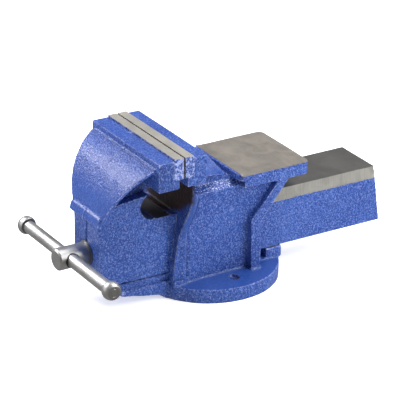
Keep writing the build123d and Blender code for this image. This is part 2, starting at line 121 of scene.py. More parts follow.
hub_r = (screw_high.x - screw_low.x) / 2
bar_r = (bar_high.z - bar_low.z) / 2
running_gap = 0.00005
handle_y = (bar_low.y + bar_high.y) / 2
band_h = 0.0152              # machined strip along the top of the slide's sides
band_step = 0.0004           # the strip stands this proud of the cast side
tenon_r = 0.0045             # ends of the bar, riveted over in the knobs
knob_inner = 0.0053          # from the ball's centre to the bar's shoulder
knob_flat_over = 0.0021      # the knob's inner flat is this much larger than the bar
groove_w = 0.0016            # shallow groove between flange and side panel
groove_depth = 0.0014
roll_reach = 0.009           # the flange's outer edge is rounded off over this depth
roll_depth = 0.0026
seam_w = 0.0015              # seam of the mould halves
seam_on_lip = 0.0013
seam_on_brow = 0.0010
seam_in_box = 0.0018
lip_low_z = 0.1035           # lip along the foot of the shell
lip_high_z = 0.1165
brow_z = 0.1655              # above this the shell turns in to the jaw block

voxel = 0.0011
thinning = 0.32              # share of a casting's faces that is kept
stock_h = 0.0016             # metal left on a face before it is machined
overlap = 0.001              # stock reaches this far into the casting
waviness = 0.00014           # height of the casting's long waves, and their lengths
wavelengths = (0.021, 0.033, 0.047, 0.062)
rng = np.random.default_rng(7)


# ---------------------------------------------------------------- mesh helpers
def circle(centre, radius, steps=48):
    """Points of a circle in a plane."""
    return [
        (centre[0] + radius * math.cos(a), centre[1] + radius * math.sin(a))
        for a in (2 * math.pi * i / steps for i in range(steps))
    ]


def rounded(low, high, radius, steps=8):
    """Points of a rectangle with round corners."""
    points = []
    for quarter, (x, y) in enumerate(
        [(high[0], high[1]), (low[0], high[1]), (low[0], low[1]), (high[0], low[1])]
    ):
        cx = x - radius if x == high[0] else x + radius
        cy = y - radius if y == high[1] else y + radius
        for step in range(steps + 1):
            a = math.pi / 2 * (quarter + step / steps)
            points.append((cx + radius * math.cos(a), cy + radius * math.sin(a)))
    return points


def prism(bm, outline, axis, start, end):
    """Adds an outline pushed along an axis from start to end; the outline is in the other two axes."""
    def place(u, v, along):
        return {"X": (along, u, v), "Y": (u, along, v), "Z": (u, v, along)}[axis]

    low = [bm.verts.new(place(u, v, start)) for u, v in outline]
    high = [bm.verts.new(place(u, v, end)) for u, v in outline]
    faces = [bm.faces.new(low), bm.faces.new(high)]
    for i in range(len(outline)):
        j = (i + 1) % len(outline)
        faces.append(bm.faces.new((low[i], low[j], high[j], high[i])))
    bmesh.ops.recalc_face_normals(bm, faces=faces)


def block(bm, low, high):
    """Adds a box between two corners."""
    outline = [(low[0], low[1]), (high[0], low[1]), (high[0], high[1]), (low[0], high[1])]
    prism(bm, outline, "Z", low[2], high[2])


def turned(bm, profile, centre, axis, steps=64):
    """Adds a closed solid of revolution. The profile is (along, radius) from the axis to the axis."""
    rings = []
    for along, radius in profile:
        ring = []
        for i in range(steps if radius > 1e-7 else 1):
            a = 2 * math.pi * i / steps
            u = radius * math.cos(a)
            v = radius * math.sin(a)
            spot = {"X": (along, u, v), "Y": (v, along, u), "Z": (u, v, along)}[axis]
            ring.append(bm.verts.new(Vector(centre) + Vector(spot)))
        rings.append(ring)
    faces = []
    for one, two in zip(rings, rings[1:]):
        for i in range(steps):
            j = (i + 1) % steps
            corners = [one[i % len(one)], one[j % len(one)], two[j % len(two)], two[i % len(two)]]
            corners = list(dict.fromkeys(corners))
            if len(corners) > 2:
                faces.append(bm.faces.new(corners))
    bmesh.ops.recalc_face_normals(bm, faces=faces)


def new_object(name, bm):
    """A named object from a bmesh."""
    mesh = bpy.data.meshes.new(name)
    bm.to_mesh(mesh)
    bm.free()
    made = bpy.data.objects.new(name, mesh)
    bpy.context.scene.collection.objects.link(made)
    return made


def apply(made):
    """Turns an object's modifiers into its mesh."""
    depsgraph = bpy.context.evaluated_depsgraph_get()
    depsgraph.update()
    mesh = bpy.data.meshes.new_from_object(made.evaluated_get(depsgraph))
    made.modifiers.clear()
    old = made.data
    made.data = mesh
    bpy.data.meshes.remove(old)
    mesh.name = made.name


def combine(made, bm, operation):
    """Cuts a bmesh's solids from an object, or adds them to it."""
    tool = new_object("tool", bm)
    joined = made.modifiers.new("tool", "BOOLEAN")
    joined.operation = operation
    joined.solver = "MANIFOLD"
    joined.object = tool
    apply(made)
    bpy.data.objects.remove(tool)


def soft_shade(made, degrees=35):
    """Smooth shading, with edges sharper than an angle left crisp."""
    made.data.shade_smooth()
    made.data.set_sharp_from_angle(angle=math.radians(degrees))


def deliver(made, node, finish):
    """A finished piece that stands for a CAD node, on its body and with its finish."""
    made.data.materials.clear()
    made.data.materials.append(finish)
    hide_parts(node)
    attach(made, frame["nodes"][node]["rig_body"])
    return made


# ---------------------------------------------------------------- castings
def rough_casting(name, node, stock):
    """The node's shape as it leaves the mould: stock on, edges and corners rounded, faces a little wavy."""
    bm = bmesh.new()
    bm.from_mesh(frame["nodes"][node].data)
    bmesh.ops.remove_doubles(bm, verts=bm.verts, dist=1e-6)
    stock(bm)
    made = new_object(name, bm)
    remesh = made.modifiers.new("mould", "REMESH")
    remesh.mode = "VOXEL"
    remesh.voxel_size = voxel
    smooth = made.modifiers.new("round", "SMOOTH")
    smooth.factor = 0.5
    smooth.iterations = 5
    apply(made)
    count = len(made.data.vertices)
    spots = np.empty(count * 3, np.float32)
    normals = np.empty(count * 3, np.float32)
    made.data.vertices.foreach_get("co", spots)
    made.data.vertices.foreach_get("normal", normals)
    spots = spots.reshape(-1, 3)
    normals = normals.reshape(-1, 3)
    swell = np.zeros(count)
    for wavelength in wavelengths:
        direction = rng.normal(size=3)
        direction /= np.linalg.norm(direction)
        swell += np.sin(spots @ direction * (2 * math.pi / wavelength) + rng.uniform(0, 2 * math.pi))
    spots = spots + normals * (swell * waviness / 2)[:, None]
    return made, spots.astype(np.float64), normals


def put_back(made, spots):
    """Writes moved points back into a mesh, and thins it where it is flat."""
    made.data.vertices.foreach_set("co", spots.astype(np.float32).ravel())
    made.data.update()
    thin = made.modifiers.new("thin", "DECIMATE")
    thin.ratio = thinning
    apply(made)


def body_stock(bm):
    """Metal that is machined off the fixed body later."""
    prism(
        bm,
        rounded((-anvil_half, anvil_front_y - 0.006), (anvil_half, anvil_rear_y), anvil_corner),
        "Z",
        anvil_top - 0.006,
        anvil_top + stock_h,
    )
    prism(
        bm,
        [
            (-0.070, floor_top - overlap),
            (rib_rear_y - overlap, floor_top - overlap),
            (rib_rear_y - overlap, rib_knee_z),
            (rib_rear_y + 0.019, tunnel_top + overlap),
            (-0.070, tunnel_top + overlap),
        ],
        "X",
        -tunnel_half - overlap,
        tunnel_half + overlap,
    )
    block(
        bm,
        (-half_jaw, fixed_plate_low.y + 0.004, fixed_plate_low.z - overlap),
        (half_jaw, fixed_plate_high.y + overlap, body_high.z),
    )
    prism(bm, circle((0, 0), base_r), "Z", -stock_h, 0.004)
    prism(
        bm,
        rounded(
            (-pocket_half - overlap, pocket_front_y - overlap),
            (pocket_half + overlap, pocket_rear_y + overlap),
            pocket_corner,
        ),
        "Z",
        -stock_h,
        pocket_depth + overlap,
    )
    for side in (-1, 1):
        prism(bm, circle((side * bolt_hole_x, 0), bolt_hole_r + overlap), "Z", -stock_h, base_top + 0.0012)


def body_cuts(bm):
    """What the machine shop takes off the fixed body."""
    block(bm, (-0.06, anvil_front_y - 0.002, anvil_top), (0.06, anvil_rear_y + 0.01, anvil_top + 0.01))
    block(bm, (-tunnel_half, tunnel_low_y, floor_top), (tunnel_half, tunnel_high_y, tunnel_top))
    block(
        bm,
        (-half_jaw - 0.01, fixed_plate_low.y - 0.02, fixed_plate_low.z),
        (half_jaw + 0.01, fixed_plate_high.y, body_high.z + 0.01),
    )
    block(bm, (-0.1, -0.14, -0.01), (0.1, 0.12, 0.0))


def body_holes(bm):
    """The hollow under the fixed body, and its bolt holes."""
    prism(
        bm,
        rounded((-pocket_half, pocket_front_y), (pocket_half, pocket_rear_y), pocket_corner),
        "Z",
        -0.01,
        pocket_depth,
    )
    for side in (-1, 1):
        prism(bm, circle((side * bolt_hole_x, 0), bolt_hole_r), "Z", -0.01, base_top + 0.01)


def fixed_body():
    """The base, body, fixed jaw and anvil: one casting, machined where things slide or rest."""
    made, spots, normals = rough_casting("fixed_body_casting", "fixed_body", body_stock)
    x, y, z = spots.T
    # the flange's outer edge is rounded off towards a shallow groove that divides it from the side panel
    outer = np.abs(normals[:, 0]) > 0.5
    behind = outer & (np.abs(x) < 0.0735) & (z > 0.024) & (z < 0.137)
    groove = np.exp(-(((y - flange_rear_y + 0.0005) / groove_w) ** 2)) * groove_depth
    spots[behind, 0] -= (np.sign(x) * groove)[behind]
    ear = outer & (y < flange_rear_y - 0.0015) & (z > 0.022) & (z < 0.147)
    roll = np.clip((flange_rear_y - y) / roll_reach, 0, 1) ** 2 * roll_depth
    spots[ear, 0] -= (np.sign(x) * roll)[ear]
    put_back(made, spots)
    for tool in (body_cuts, body_holes):
        bm = bmesh.new()
        tool(bm)
        combine(made, bm, "DIFFERENCE")
    soft_shade(made)
    return deliver(made, "fixed_body", body_enamel())


def jaw_stock(bm):
    """Metal that is machined off the moving jaw later."""
    block(
        bm,
        (-slide_half, slot_y, slide_top - 0.004),
        (slide_half, jaw_high.y - 0.0097, slide_top + stock_h),
    )
    block(
        bm,
        (-half_jaw, moving_plate_low.y - overlap, moving_plate_low.z - overlap),
        (half_jaw, moving_plate_high.y - 0.006, jaw_high.z),
    )
    turned(
        bm,
        [(0, 0), (0, journal_r + 0.002), (0.012, journal_r + 0.002), (0.012, 0)],
        (0, box_front_y + 0.001, screw_axis_z),
        "Y",
    )


def jaw_cuts(bm):
    """What the machine shop takes off the moving jaw, and a fine groove along the top of the plate's seat."""
    block(
        bm,
        (-half_jaw - 0.01, moving_plate_low.y - 0.0008, jaw_high.z - 0.0014),
        (half_jaw + 0.01, moving_plate_low.y + 0.001, jaw_high.z + 0.01),
    )
    block(bm, (-0.04, slot_y + 0.002, slide_top), (0.04, jaw_high.y + 0.01, slide_top + 0.004))
    block(
        bm,
        (-half_jaw - 0.01, moving_plate_low.y, moving_plate_low.z),
        (half_jaw + 0.01, moving_plate_high.y + 0.02, jaw_high.z + 0.01),
    )
    turned(
        bm,
        [(0, 0), (0, journal_r + running_gap), (0.03, journal_r + running_gap), (0.03, 0)],
        (0, box_front_y - 0.008, screw_axis_z),
        "Y",
    )


def moving_jaw():
    """The box slide, the curved shell and the front jaw: one casting, seamed by its mould."""
    made, spots, normals = rough_casting("moving_jaw_casting", "moving_jaw", jaw_stock)
    x, y, z = spots.T
    # the strip along the top of each side is machined, so it stands proud of the cast face below
    cast_side = (np.abs(normals[:, 0]) > 0.8) & (z < slide_top - band_h) & (y > slot_y + 0.018)
    spots[cast_side, 0] -= np.sign(x[cast_side]) * band_step
    # the seam is a ridge on the shell's brow and its lip, and a groove down the front of the box
    seam = np.exp(-((x / seam_w) ** 2))
    front = normals[:, 1] < -0.25
    on_lip = front & (z > lip_low_z) & (z < lip_high_z)
    on_brow = front & (z > brow_z)
    on_box = front & (z < lip_low_z - 0.0005) & (y < box_front_y + 0.002)
    ridge = on_lip * seam_on_lip + on_brow * seam_on_brow
    spots += normals * (seam * ridge)[:, None]
    spots[on_box, 1] += (seam * seam_in_box)[on_box]
    put_back(made, spots)
    bm = bmesh.new()
    jaw_cuts(bm)
    combine(made, bm, "DIFFERENCE")
    soft_shade(made)
    return deliver(made, "moving_jaw", jaw_enamel())


# ---------------------------------------------------------------- jaw plates
def serrated_plate(name, node, towards):
    """A jaw plate with a diamond-cut face; towards is -1 or +1, the way its face looks along Y."""
    low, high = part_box(node)
    face_y = high.y if towards > 0 else low.y
    back_y = low.y if towards > 0 else high.y
    pitch = 0.0042
    groove = 0.0012
    slope = 2.2
    corner = 0.0004
    columns, rows = 200, 33
    bm = bmesh.new()
    grid = []
    for j in range(rows + 1):
        line = []
        for i in range(columns + 1):
            x = low.x + (high.x - low.x) * i / columns
            z = low.z + (high.z - low.z) * j / rows
            cuts = [abs(((x + s * (z - low.z)) / pitch) % 1.0 - 0.5) * 2 for s in (-1, 1)]
            depth = groove * max(0.0, 1 - slope * min(1 - c for c in cuts))
            if i in (0, columns) or j in (0, rows):
                depth += corner
            line.append(bm.verts.new((x, face_y - towards * depth, z)))
        grid.append(line)
    for j in range(rows):
        for i in range(columns):
            bm.faces.new((grid[j][i], grid[j][i + 1], grid[j + 1][i + 1], grid[j + 1][i]))
    rim = grid[0][:-1] + [row[-1] for row in grid[:-1]] + grid[-1][:0:-1] + [row[0] for row in grid[:0:-1]]
    back = [bm.verts.new((v.co.x, back_y, v.co.z)) for v in rim]
    for i in range(len(rim)):
        j = (i + 1) % len(rim)
        bm.faces.new((rim[i], rim[j], back[j], back[i]))
    bm.faces.new(back)
    bmesh.ops.recalc_face_normals(bm, faces=bm.faces)
    made = new_object(name, bm)
    cutter = bmesh.new()
    hole_r = 0.0041
    sink_r = 0.0079
    above = 0.002
    through = -0.02
    for side in (-1, 1):
        x = side * (plate_screw_low.x + plate_screw_high.x) / 2
        z = (plate_screw_low.z + plate_screw_high.z) / 2
        sink = [(above, 0), (above, sink_r), (0, sink_r), (hole_r - sink_r, hole_r)]
        profile = sink + [(through, hole_r), (through, 0)]
        turned(cutter, [(towards * a, r) for a, r in profile], (x, face_y, z), "Y")
    combine(made, cutter, "DIFFERENCE")
    soft_shade(made, 20)
    return deliver(made, node, plate_steel(node + "_steel", towards))


# ---------------------------------------------------------------- screw and handle
def thread(bm, start, end, steps=36):
    """A right-hand trapezoidal thread along Y, cut square at both ends."""
    core = thread_r - thread_depth
    shape = [(0.0, core), (0.34, core), (0.47, thread_r), (0.83, thread_r), (0.96, core)]
    turns = int((end - start) / thread_pitch) + 3
    rings = []
    for turn in range(turns):
        for along, radius in shape:
            ring = []
            for i in range(steps):
                a = 2 * math.pi * i / steps
                y = start + (turn - 1 + along + i / steps - 0.5) * thread_pitch
                ring.append(bm.verts.new((radius * math.sin(a), y, screw_axis_z + radius * math.cos(a))))
            rings.append(ring)
    count = len(shape)
    for k in range(len(rings) - 1):
        for i in range(steps):
            if i + 1 < steps:
                bm.faces.new((rings[k][i], rings[k][i + 1], rings[k + 1][i + 1], rings[k + 1][i]))
            elif k + count + 1 < len(rings):
                bm.faces.new((rings[k][i], rings[k + count][0], rings[k + count + 1][0], rings[k + 1][i]))
    for y, away in ((start, -1), (end, 1)):
        cut = bmesh.ops.bisect_plane(
            bm,
            geom=bm.verts[:] + bm.edges[:] + bm.faces[:],
            plane_co=(0, y, 0),
            plane_no=(0, away, 0),
            clear_outer=True,
        )
        edges = [e for e in cut["geom_cut"] if isinstance(e, bmesh.types.BMEdge)]
        bmesh.ops.holes_fill(bm, edges=edges, sides=0)
    bmesh.ops.recalc_face_normals(bm, faces=bm.faces)


def lead_screw():
    """The hub with its cross hole, the journal and the trapezoidal thread."""
    bm = bmesh.new()
    thread(bm, collar_high.y - 0.001, screw_high.y)
    made = new_object("lead_screw_threaded", bm)
    edge = 0.0015
    soft = 0.0003
    hub_end = thrust_low.y
    bm = bmesh.new()
    turned(
        bm,
        [
            (screw_low.y, 0),
            (screw_low.y, hub_r - edge - soft),
            (screw_low.y + soft, hub_r - edge),
            (screw_low.y + edge, hub_r - soft),
            (screw_low.y + edge + soft, hub_r),
            (hub_end - 2 * soft, hub_r),
            (hub_end, hub_r - soft),
            (hub_end, journal_r),
            (collar_high.y, journal_r),
            (collar_high.y, 0),
        ],
        (0, 0, screw_axis_z),
        "Y",
    )
    combine(made, bm, "UNION")
    bm = bmesh.new()
    lip = bar_r + running_gap
    reach = 2 * hub_r
    flare = 0.0016
    hole = [(reach, 0), (reach, lip + flare), (hub_r + 0.0006, lip + flare), (hub_r - 0.0035, lip)]
    hole += [(-along, radius) for along, radius in reversed(hole)]
    turned(bm, hole, (0, handle_y, screw_axis_z), "X")
    pin_y = (collar_low.y + collar_high.y) / 2
    pin_low, pin_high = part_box("collar_pin")
    pin_r = (pin_high.x - pin_low.x) / 2
    turned(bm, [(-reach, 0), (-reach, pin_r), (reach, pin_r), (reach, 0)], (0, pin_y, screw_axis_z), "Z")
    combine(made, bm, "DIFFERENCE")
    soft_shade(made)
    return deliver(made, "lead_screw", turned_steel("screw_steel", "Y", hole_y=handle_y))


def handle_bar():
    """A drawn bar with turned-down ends riveted over in the knobs."""
    half = bar_high.x
    shoulder = knob_low.x + 0.0054
    soft = 0.0004
    right = [
        (shoulder - soft, bar_r),
        (shoulder, bar_r - soft),
        (shoulder, tenon_r),
        (half - soft, tenon_r),
        (half, tenon_r - soft),
        (half, 0),
    ]
    profile = [(-a, r) for a, r in reversed(right)] + right
    bm = bmesh.new()
    turned(bm, profile, (0, handle_y, screw_axis_z), "X")
    made = new_object("handle_bar_drawn", bm)
    soft_shade(made)
    return deliver(made, "handle_bar", turned_steel("bar_steel", "X", flat_end=half))


def handle_knob(side, node):
    """A ball knob with a flat end, on the bar's shoulder."""
    low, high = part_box(node)
    radius = (high.z - low.z) / 2
    end = max(abs(low.x), abs(high.x))
    centre = knob_centre(node)
    flat = end - centre
    soft = 0.0003
    fit = 0.00002
    mouth = math.acos(-math.sqrt(radius**2 - (bar_r + knob_flat_over) ** 2) / radius)
    tip = math.acos((flat - 0.0004) / radius)
    steps = 22
    ball = [mouth + (tip - mouth) * i / steps for i in range(steps + 1)]
    inner_end = radius * math.cos(mouth)
    profile = [(-knob_inner, bar_r + fit), (inner_end + 0.0012, bar_r + fit), (inner_end, bar_r + 0.0007)]
    profile += [(radius * math.cos(a), radius * math.sin(a)) for a in ball]
    profile += [(flat, radius * math.sin(tip) - 2 * soft), (flat, tenon_r + soft)]
    profile += [(flat - soft, tenon_r), (-knob_inner, tenon_r)]
    bm = bmesh.new()
    ring_of(bm, [(side * (centre + a), r) for a, r in profile], (0, handle_y, screw_axis_z))
    made = new_object(node + "_turned", bm)
    soft_shade(made)
    return deliver(made, node, turned_steel(node + "_steel", "X", flat_end=end))


def knob_centre(node):
    """How far along X the ball's centre lies: where its section is largest."""
    points = [v.co for v in frame["nodes"][node].data.vertices]
    top = max(p.z for p in points)
    widest = [abs(p.x) for p in points if p.z > top - 1e-5]
    return sum(widest) / len(widest)


def ring_of(bm, profile, centre, steps=64):
    """Adds a solid of revolution about X whose closed profile stays clear of the axis."""
    rings = []
    for along, radius in profile:
        ring = []
        for i in range(steps):
            a = 2 * math.pi * i / steps
            spot = Vector((along, radius * math.cos(a), radius * math.sin(a)))
            ring.append(bm.verts.new(Vector(centre) + spot))
        rings.append(ring)
    for k in range(len(rings)):
        one, two = rings[k], rings[(k + 1) % len(rings)]
        for i in range(steps):
            j = (i + 1) % steps
            bm.faces.new((one[i], one[j], two[j], two[i]))
    bmesh.ops.recalc_face_normals(bm, faces=bm.faces)


# ---------------------------------------------------------------- finishes
class Wire:
    """A value in a finish. Python's operators on it add Math nodes."""

    def __init__(self, finish, socket):
        self.finish = finish
        self.socket = socket

    def maths(self, operation, *values):
        return self.finish.node("ShaderNodeMath", {"operation": operation}, dict(enumerate(values)))

    def __add__(self, other):
        return self.maths("ADD", self, other)

    def __radd__(self, other):
        return self.maths("ADD", other, self)

    def __sub__(self, other):
        return self.maths("SUBTRACT", self, other)

    def __rsub__(self, other):
        return self.maths("SUBTRACT", other, self)

    def __mul__(self, other):
        return self.maths("MULTIPLY", self, other)

    def __rmul__(self, other):
        return self.maths("MULTIPLY", other, self)

    def __neg__(self):
        return self.maths("MULTIPLY", self, -1.0)

    def __abs__(self):
        return self.maths("ABSOLUTE", self)

    def ease(self, low, high):
        """0 below low, 1 above high, smooth between."""
        settings = {"interpolation_type": "SMOOTHSTEP"}
        sockets = {"Value": self, "From Min": low, "From Max": high}
        return self.finish.node("ShaderNodeMapRange", settings, sockets)


class Finish:
    """A material under construction, or with its own block given, the world."""

    def __init__(self, name, world=None):
        self.material = world or bpy.data.materials.new(name)
        self.material.use_nodes = True
        self.tree = self.material.node_tree
        self.tree.nodes.clear()
        self.out = self.tree.nodes.new("ShaderNodeOutputWorld" if world else "ShaderNodeOutputMaterial")
        self.place = self.node("ShaderNodeTexCoord", {}, {}, "Generated" if world else "Object")
        self.facing = self.node("ShaderNodeTexCoord", {}, {}, "Normal")

    def node(self, kind, settings, sockets, output=0):
        """Any node: its settings first, then its sockets' values or links. Gives one output."""
        made = self.tree.nodes.new(kind)
        for key, value in settings.items():
            if key == "stops":
                self.ramp(made.color_ramp, value)
            else:
                setattr(made, key, value)
        for key, value in sockets.items():
            if isinstance(value, Wire):
                self.tree.links.new(value.socket, made.inputs[key])
            else:
                made.inputs[key].default_value = value
        return Wire(self, made.outputs[output])

    def ramp(self, ramp, stops):
        """Sets a colour ramp's stops."""
        while len(ramp.elements) < len(stops):
            ramp.elements.new(0.5)
        for element, (position, colour) in zip(ramp.elements, stops):
            element.position = position
            element.color = (*colour, 1.0)

    def axes(self, vector):
        """A vector's X, Y and Z."""
        return [self.node("ShaderNodeSeparateXYZ", {}, {0: vector}, axis) for axis in range(3)]

    def scaled(self, vector, factors):
        """A vector stretched along each axis."""
        return self.node("ShaderNodeVectorMath", {"operation": "MULTIPLY"}, {0: vector, 1: factors})

    def noise(self, scale, detail=2.0, rough=0.5, at=None, distortion=0.0):
        """Noise from 0 to 1, with about this many waves per metre."""
        sockets = {
            "Vector": at or self.place,
            "Scale": scale,
            "Detail": detail,
            "Roughness": rough,
            "Distortion": distortion,
        }
        return self.node("ShaderNodeTexNoise", {}, sockets)

    def cells(self, scale):
        """Distance to the nearest of scattered points, eased where they meet."""
        sockets = {"Vector": self.place, "Scale": scale}
        return self.node("ShaderNodeTexVoronoi", {"feature": "SMOOTH_F1"}, sockets)

    def mix(self, factor, one, two):
        """Blends two colours."""
        one, two = (value if isinstance(value, Wire) else (*value, 1.0) for value in (one, two))
        return self.node("ShaderNodeMix", {"data_type": "RGBA"}, {0: factor, 6: one, 7: two}, 2)

    def bump(self, height, distance, strength=1.0):
        """Surface relief; distance is its height in metres."""
        return self.node("ShaderNodeBump", {}, {"Height": height, "Distance": distance, "Strength": strength})

    def shader(self, **sockets):
        """The surface itself, with its sockets by name."""
        named = {key.replace("_", " ").title().replace("Ior", "IOR"): value for key, value in sockets.items()}
        return self.surface(self.node("ShaderNodeBsdfPrincipled", {}, named))

    def surface(self, made):
        """Ends a material, or the world, with its shader."""
        self.tree.links.new(made.socket, self.out.inputs["Surface"])
        return self.material


def either(*masks):
    """The largest of several masks."""
    result = masks[0]
    for mask in masks[1:]:
        result = result.maths("MAXIMUM", result, mask)
    return result


def inside(value, low, high, soft=0.0002):
    """1 where a value lies between two limits."""
    return value.ease(low - soft, low + soft) * (1 - value.ease(high - soft, high + soft))


# colours, as red, green and blue
paint_deep = (0.010, 0.040, 0.215)
paint_blue = (0.042, 0.110, 0.400)
paint_light = (0.230, 0.300, 0.640)
# painted shade: the near-black blue laid in creases and on shaded faces
paint_shade = (0.003, 0.012, 0.080)
# painted highlight on edges and the shoulder; on edges partly also thin, worn paint
paint_thin_and_highlight = (0.480, 0.520, 0.820)
bare_warm = (0.330, 0.300, 0.262)
bare_grey = (0.145, 0.141, 0.132)
bare_light = (0.450, 0.440, 0.400)
plate_bare = (0.500, 0.480, 0.425)
steel_dark = (0.380, 0.375, 0.362)
steel_bright = (0.530, 0.525, 0.512)
# painted shade: darker steel on flat ends, standing in for a dark reflection
steel_end_shade = (0.300, 0.295, 0.285)
# brown for grease, laid darker as painted shade in the throat, the slot and along the closed jaw line; also
# used round a cross hole's mouth
grease_and_shade_brown = (0.022, 0.011, 0.010)
worn_edge = (0.300, 0.280, 0.255)


def hammered(
    finish,
    metal,
    smooth_and_shade_mask=0.0,
    metal_mask=0.0,
    grease_and_shade_mask=0.0,
    wear_mask=0.0,
    highlight_mask=0.0,
    shade_mask=0.0,
):
    """Hammered enamel over a casting, with bare machined metal, grease darkened as painted shade, worn edges,
    painted shade in creases and on shaded faces, and painted highlights on edges, where the masks say.
    """
    metal_colour, metal_rough, metal_height = metal
    peel = finish.noise(430.0, 1.5, 0.55)
    dimple = finish.cells(520.0)
    fine = finish.noise(1000.0, 2.0, 0.6)
    broad = finish.noise(14.0, 3.0, 0.5)
    relief = peel * 0.60 + dimple * 0.55 + fine * 0.20
    tone = (peel * 0.6 + dimple * 0.5 + (broad - 0.5) * 0.4).ease(0.36, 0.80)
    # where this mask is set the paint is smoother and its tone is pulled darker; the darker tone is painted
    # shade
    tone = tone * (1 - 0.65 * smooth_and_shade_mask) + 0.22 * smooth_and_shade_mask
    colour = finish.mix(tone, paint_deep, paint_blue)
    fleck = finish.noise(620.0, 1.0, 0.5).ease(0.53, 0.68) * (1 - smooth_and_shade_mask)
    colour = finish.mix(fleck * 0.50, colour, paint_light)
    # painted shade: concave creases are darkened towards near-black blue
    crease_shade = 1 - edges(finish, 0.425, 0.485)
    colour = finish.mix(either(crease_shade * 0.85, shade_mask), colour, paint_shade)
    # edges get lighter paint: partly thin paint worn on the edges, partly painted highlight standing in for
    # edge glints
    edge_wear_and_highlight = edges(finish, 0.515, 0.560) * finish.noise(300.0, 2.0, 0.6).ease(0.42, 0.58)
    colour = finish.mix(either(edge_wear_and_highlight * 0.55, highlight_mask * fleck), colour, paint_thin_and_highlight)
    colour = finish.mix(wear_mask, colour, worn_edge)
    colour = finish.mix(metal_mask, colour, metal_colour)
    # grease brown, which also stands as painted shade in gaps and recesses
    colour = finish.mix(grease_and_shade_mask, colour, grease_and_shade_brown)
    painted = (1 - metal_mask) * (1 - grease_and_shade_mask)
    rough = painted * (0.31 + 0.10 * broad) + metal_mask * metal_rough + grease_and_shade_mask * 0.50
    height = relief * painted * (1 - 0.92 * smooth_and_shade_mask) + metal_height * metal_mask * 0.10
    height = height + grease_and_shade_mask * finish.noise(240.0, 4.0, 0.6) * 0.9
    return finish.shader(
        base_color=colour,
        metallic=metal_mask * (1 - grease_and_shade_mask) * 0.75,
        roughness=rough,
        coat_weight=painted * (0.10 + 0.15 * fleck),
        coat_roughness=0.15,
        specular_ior_level=0.35,
        normal=finish.bump(height, 0.0015, 1.0),
    )


def milled(finish, along, colour, spread):
    """Colour, roughness and relief of a machined face, with faint cutter marks along one axis."""
    stretch = {"X": (0.06, 1.0, 1.0), "Y": (1.0, 0.06, 1.0), "Z": (1.0, 1.0, 0.06)}[along]
    marks = finish.noise(900.0, 3.0, 0.6, finish.scaled(finish.place, stretch))
    cloud = finish.noise(38.0, 4.0, 0.6, distortion=0.8)
    shade = ((cloud - 0.5) * 1.1 + (marks - 0.5) * 0.6 + 0.5).ease(0.15, 0.85)
    low = tuple(c * (1 - spread) for c in colour)
    high = tuple(min(1.0, c * (1 + spread)) for c in colour)
    return finish.mix(shade, low, high), 0.36 + 0.16 * cloud, marks


def edges(finish, low, high):
    """1 on sharp outside edges."""
    return finish.node("ShaderNodeNewGeometry", {}, {}, "Pointiness").ease(low, high)


def body_metal(finish, x, y, z):
    """Where the fixed body is machined: the anvil, the underside and the slide's passage."""
    ragged = (finish.noise(160.0, 3.0, 0.6) - 0.5) * 0.0006
    anvil = (z + ragged).ease(anvil_top - 0.0004, anvil_top - 0.0002) * inside(y, anvil_front_y - 0.004, 0.2)
    underside = 1 - z.ease(0.0001, 0.0003)
    passage = inside(abs(x), -1, tunnel_half + 0.0002)
    passage = passage * inside(z, floor_top - 0.0002, tunnel_top + 0.0002)
    return either(anvil, underside, passage * inside(y, -0.0665, 0.0745))


def throat_grease_and_shade(finish, x, y, z):
    """Where grease has gathered on the flange, over the slide; it is laid darker as painted shade in the gap
    under the jaws.
    """
    blotch = (finish.noise(45.0, 3.0, 0.6) - 0.5) * 0.016
    throat = inside(y, -0.075, -0.0575) * inside(z + blotch, 0.098, 0.150)
    throat = throat * inside(abs(x) + blotch * 0.4, -1, 0.068, 0.002)
    return throat * (z - 0.55 * abs(x) + blotch).ease(0.083, 0.092)


def flange_edge(x, y, z, ny):
    """The flange's outer edge, which follows its curve."""
    spread = flange_top_half - flange_foot_half
    half = z.ease(flange_curve_low, flange_curve_high) * spread + flange_foot_half
    edge = inside(abs(x) - half, -0.0030, 0.0004) * (-ny).ease(0.45, 0.65) * inside(y, -0.0725, -0.058)
    return edge * inside(z, 0.024, 0.139)


def body_enamel():
    """Finish of the fixed body."""
    finish = Finish("body_enamel")
    x, y, z = finish.axes(finish.place)
    nx, ny, nz = finish.axes(finish.facing)
    flat_base = inside(z, 0.010, base_top + 0.003) * nz.ease(0.90, 0.99)
    # the rolled flange ear gets smoother paint and a darker tone: painted shade where it turns away from the
    # light
    ear = abs(x).ease(0.0435, 0.0445) * inside(y, -0.080, flange_rear_y - 0.002) * abs(nx).ease(0.3, 0.6)
    ear = ear * inside(z, 0.020, 0.149)
    edge = flange_edge(x, y, z, ny)
    wear = edge * finish.noise(420.0, 3.0, 0.7).ease(0.42, 0.60)
    wear = wear * finish.noise(60.0, 2.0, 0.5).ease(0.25, 0.50)
    # painted highlight: the shoulder's slope gets light flecks standing in for the top light's reflection
    shoulder = inside(abs(x), neck_half - 0.001, panel_half - 0.0005, 0.001) * nz.ease(0.4, 0.6)
    shoulder = shoulder * inside(z, 0.121, 0.131, 0.001) * inside(y, -0.060, anvil_front_y + 0.001)
    # painted shade: the flange's front face and the anvil's front face are darkened where they lie in shade
    # under the jaws
    front = inside(y, -0.0725, -0.058) * (-ny).ease(0.5, 0.8) * inside(z, 0.045, 0.139, 0.006)
    anvil_front = inside(y, anvil_front_y - 0.001, anvil_front_y + 0.002) * (-ny).ease(0.5, 0.8)
    anvil_front = anvil_front * inside(z, 0.118, anvil_top - 0.001)
    return hammered(
        finish,
        milled(finish, "X", bare_warm, 0.16),
        smooth_and_shade_mask=either(flat_base, ear * 0.8),
        metal_mask=body_metal(finish, x, y, z),
        grease_and_shade_mask=throat_grease_and_shade(finish, x, y, z),
        wear_mask=wear * 0.8,
        highlight_mask=shoulder * 0.8,
        shade_mask=either(front * (1 - edge) * 0.45, anvil_front * 0.6),
    )


